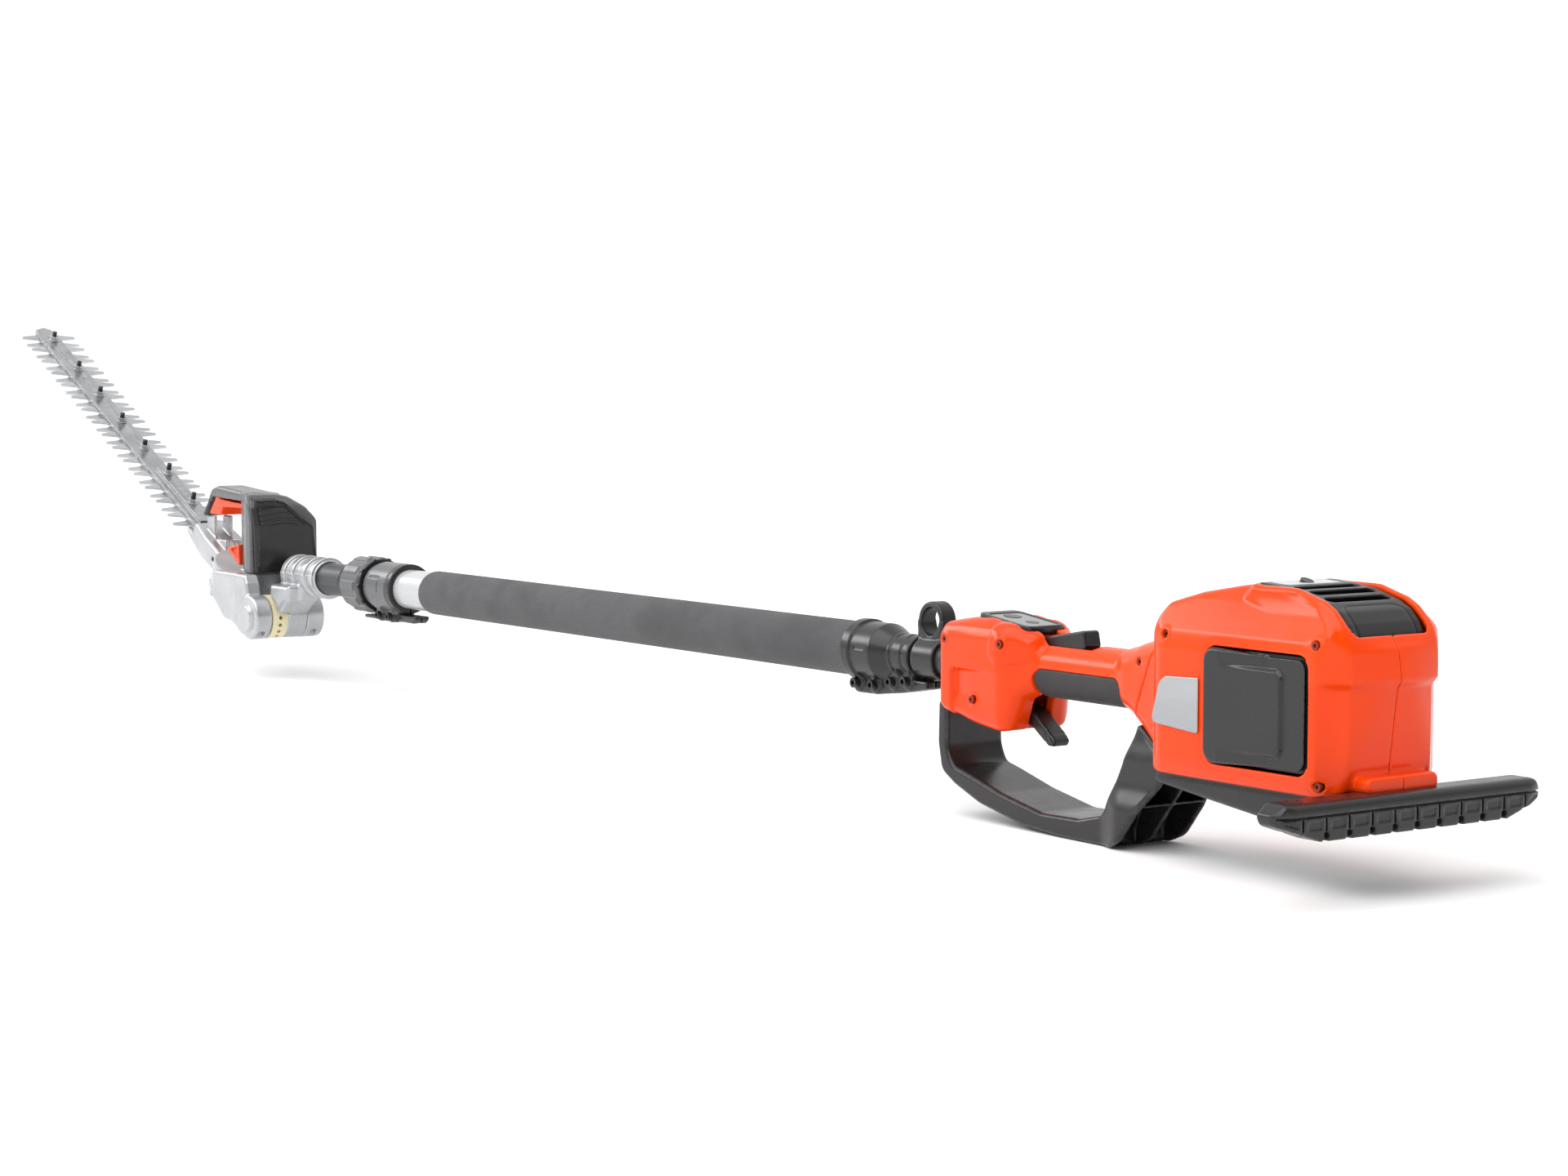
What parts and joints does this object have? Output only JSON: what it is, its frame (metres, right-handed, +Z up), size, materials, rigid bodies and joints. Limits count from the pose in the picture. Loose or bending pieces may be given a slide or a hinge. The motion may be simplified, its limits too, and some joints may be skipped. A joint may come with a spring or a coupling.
{
  "type": "pole hedge trimmer",
  "caption": "Battery pole hedge trimmer: power unit with guarded handle, telescopic pole with twist lock, and a tilting cutter head with a double-sided reciprocating blade.",
  "frame": {"origin": "on the floor plane below the middle of the overall box, with the pole retracted and level", "axes": "+X along the pole towards the cutter, +Y to the left, +Z up"},
  "size_m": [2.659, 0.264, 0.4299],
  "materials": {
    "orange_plastic": "satin moulded",
    "dark_grey_plastic": "fine texture",
    "mid_grey_plastic": "fine texture",
    "light_grey_plastic": "satin",
    "black_plastic": "satin",
    "cream_plastic": "satin",
    "soft_grip": "matte",
    "foam": "fine closed-cell foam",
    "cable": "matte",
    "board": "lacquered",
    "white_tube": "white coated",
    "dark_tube": "dark anodised",
    "cast_silver": "cast, silver",
    "steel": "ground",
    "blade_steel": "ground",
    "dark_steel": "blackened",
    "stator_iron": "wound and lacquered"
  },
  "bodies": {
    "power_unit": {"rear_housing_left": "orange_plastic", "rear_housing_right": "orange_plastic", "side_panel_left": "dark_grey_plastic", "side_panel_right": "dark_grey_plastic", "battery_bay": "black_plastic", "control_board": "board", "front_housing_left": "orange_plastic", "front_housing_right": "orange_plastic", "grip_insert_left": "soft_grip", "grip_insert_right": "soft_grip", "control_panel": "black_plastic", "trigger_pin": "steel", "trigger_spring": "steel", "trigger_switch": "black_plastic", "housing_screws": "dark_steel", "guard_loop": "dark_grey_plastic", "under_tray": "dark_grey_plastic", "rear_foot": "soft_grip", "stub_tube": "dark_tube", "hanger_eye": "black_plastic", "shaft_clamp": "dark_grey_plastic", "clamp_screws": "dark_steel", "outer_tube": "white_tube", "foam_sleeve": "foam", "lock_socket": "dark_grey_plastic", "lock_screws": "dark_steel", "lock_collet": "cream_plastic", "coil_cable": "cable"},
    "battery": {"battery_case": "black_plastic", "battery_top": "black_plastic", "indicator_panel": "light_grey_plastic"},
    "indicator_key": {"indicator_button": "dark_grey_plastic"},
    "power_key": {"power_button": "mid_grey_plastic"},
    "mode_key": {"mode_button": "mid_grey_plastic"},
    "trigger_arm": {"trigger": "black_plastic"},
    "lockout_arm": {"lockout_lever": "black_plastic"},
    "collar": {"twist_collar": "mid_grey_plastic"},
    "boom": {"inner_tube": "dark_tube", "glide_bush": "cream_plastic", "knuckle": "cast_silver", "index_ring": "cream_plastic"},
    "head": {"hinge_axle": "steel", "gear_case": "cast_silver", "gear_cover": "cast_silver", "cover_screws": "dark_steel", "head_shroud": "mid_grey_plastic", "motor_cover": "dark_grey_plastic", "motor_stator": "stator_iron", "bearings": "steel", "blade_guide": "cast_silver", "blade_bolts": "dark_steel", "blade_nuts": "steel"},
    "lever": {"release_lever": "orange_plastic"},
    "link": {"release_link": "orange_plastic"},
    "detent_pin": {"index_pin": "steel"},
    "rotor": {"motor_rotor": "steel", "motor_pinion": "steel"},
    "crank": {"crank_gear": "steel"},
    "top_cutter": {"upper_blade": "blade_steel"},
    "bottom_cutter": {"lower_blade": "blade_steel"}
  },
  "joints": [
    {"name": "pole_extend", "type": "slide", "parent": "power_unit", "child": "boom", "axis": [1, 0, 0], "range_m": [0, 0.85], "deforming": ["coil_cable"]},
    {"name": "collar_twist", "type": "hinge", "parent": "power_unit", "child": "collar", "pos_m": [0.27447, 0, 0.1245], "axis": [1, 0, 0], "range_deg": [0, 120]},
    {"name": "head_tilt", "type": "hinge", "parent": "boom", "child": "head", "pos_m": [0.49446, 0, 0.0745], "axis": [0, 1, 0], "range_deg": [0, 120]},
    {"name": "lever_squeeze", "type": "hinge", "parent": "head", "child": "lever", "pos_m": [0.68246, 0, 0.2145], "axis": [0, 1, 0], "range_deg": [0, 5], "stiffness_Nm_per_rad": 1, "springref_deg": -17.19},
    {"name": "link_slide", "type": "slide", "parent": "head", "child": "link", "axis": [0, 0, -1], "range_m": [0, 0.003]},
    {"name": "pin_slide", "type": "slide", "parent": "head", "child": "detent_pin", "axis": [1, 0, 0], "range_m": [0, 0.005]},
    {"name": "crank_spin", "type": "hinge", "parent": "head", "child": "crank", "pos_m": [0.62775, 0, 0.10777], "axis": [-0.4115, 0, 0.9114], "continuous": true},
    {"name": "motor_spin", "type": "hinge", "parent": "head", "child": "rotor", "pos_m": [0.59358, 0, 0.09234], "axis": [-0.4115, 0, 0.9114], "continuous": true},
    {"name": "blade_stroke", "type": "slide", "parent": "head", "child": "top_cutter", "axis": [0.9114, 0, 0.4115], "range_m": [-0.006, 0.006]},
    {"name": "blade_counter_stroke", "type": "slide", "parent": "head", "child": "bottom_cutter", "axis": [0.9114, 0, 0.4115], "range_m": [-0.006, 0.006]},
    {"name": "trigger_pull", "type": "hinge", "parent": "power_unit", "child": "trigger_arm", "pos_m": [-0.88953, 0, 0.0925], "axis": [0, 1, 0], "range_deg": [0, 14], "stiffness_Nm_per_rad": 0.5, "springref_deg": -17.19},
    {"name": "lockout_press", "type": "hinge", "parent": "power_unit", "child": "lockout_arm", "pos_m": [-0.93654, 0, 0.1465], "axis": [0, -1, 0], "range_deg": [0, 8], "stiffness_Nm_per_rad": 0.4, "springref_deg": -17.19},
    {"name": "power_press", "type": "slide", "parent": "power_unit", "child": "power_key", "axis": [0.1219, 0, -0.9925], "range_m": [0, 0.001], "stiffness_N_per_m": 400, "springref_m": -0.002},
    {"name": "mode_press", "type": "slide", "parent": "power_unit", "child": "mode_key", "axis": [0.1219, 0, -0.9925], "range_m": [0, 0.001], "stiffness_N_per_m": 400, "springref_m": -0.002},
    {"name": "battery_lift", "type": "slide", "parent": "power_unit", "child": "battery", "axis": [-0.3843, 0, 0.9232], "range_m": [0, 0.12]},
    {"name": "indicator_press", "type": "slide", "parent": "battery", "child": "indicator_key", "axis": [0.3843, 0, -0.9232], "range_m": [0, 0.001], "stiffness_N_per_m": 400, "springref_m": -0.002}
  ],
  "couplings": [
    {"joint": "link_slide", "follows": "lever_squeeze", "m_per_rad": 0.034377},
    {"joint": "pin_slide", "follows": "lever_squeeze", "m_per_rad": 0.057295},
    {"joint": "motor_spin", "follows": "crank_spin", "ratio": -4},
    {"joint": "blade_counter_stroke", "follows": "blade_stroke", "ratio": -1}
  ]
}
